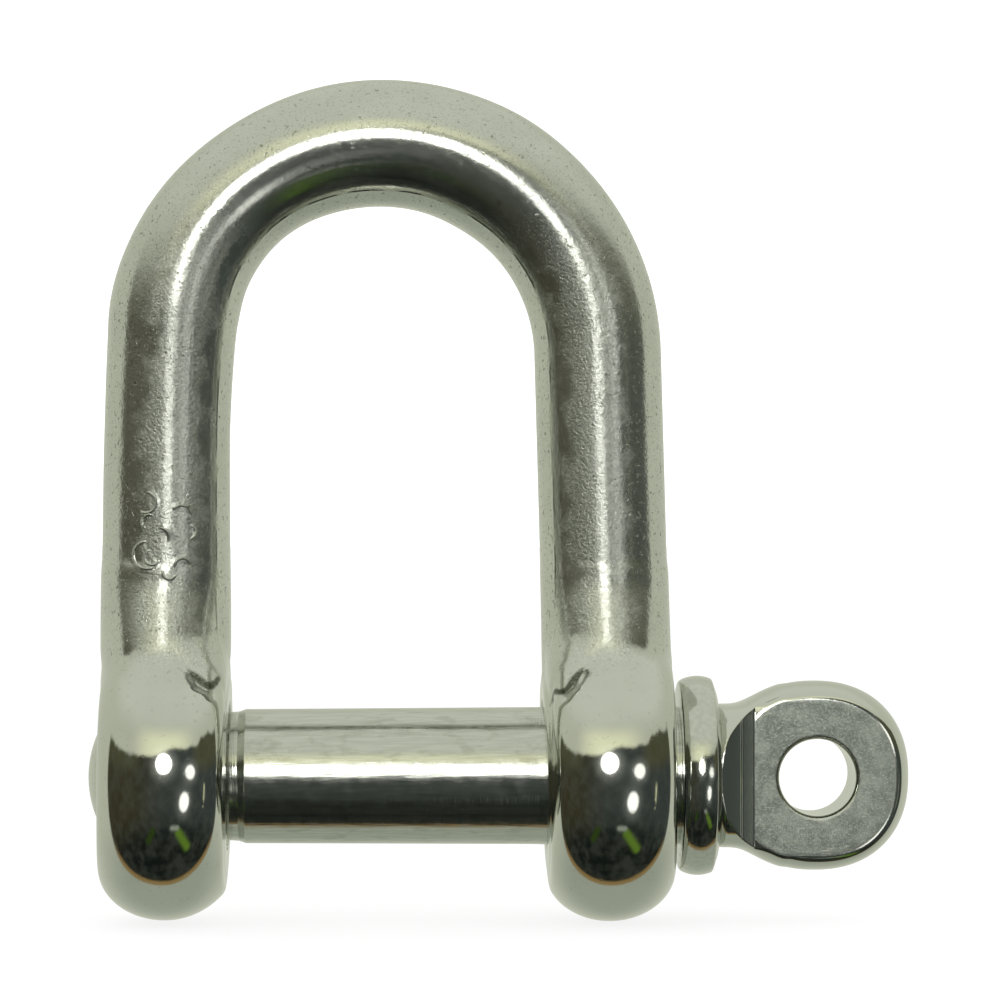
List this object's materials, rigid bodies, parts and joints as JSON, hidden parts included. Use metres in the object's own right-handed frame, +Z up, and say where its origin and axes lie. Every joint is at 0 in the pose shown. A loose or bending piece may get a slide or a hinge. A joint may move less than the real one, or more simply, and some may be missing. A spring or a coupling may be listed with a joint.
{
  "type": "dee shackle",
  "caption": "Stainless dee shackle: a forged bow with round-rimmed ears, closed by a collared screw pin with a flattened, drilled eye.",
  "frame": {"origin": "on the pin's axis, midway between the inner faces of the two ears", "axes": "+X along the pin towards its eye, +Z up from the pin to the crown of the bow, +Y away from the side seen in the front view"},
  "size_m": [0.0763, 0.027, 0.0779],
  "materials": {
    "bow": "polished stainless, faint orange peel",
    "pin_collar": "polished stainless",
    "screw_pin": "satin drawn shank, blasted eye faces"
  },
  "bodies": {
    "bow": {"bow": "bow"},
    "collar": {"pin_collar": "pin_collar"},
    "pin": {"screw_pin": "screw_pin"}
  },
  "joints": [
    {"name": "pin_travel", "type": "slide", "parent": "bow", "child": "collar", "axis": [1, 0, 0], "range_m": [-0.0006, 0.05775]},
    {"name": "pin_turn", "type": "hinge", "parent": "collar", "child": "pin", "pos_m": [0, 0, 0], "axis": [1, 0, 0], "range_deg": [-123.5, 11881]}
  ],
  "couplings": [
    {"joint": "pin_turn", "follows": "pin_travel", "rad_per_m": 3590.4}
  ]
}
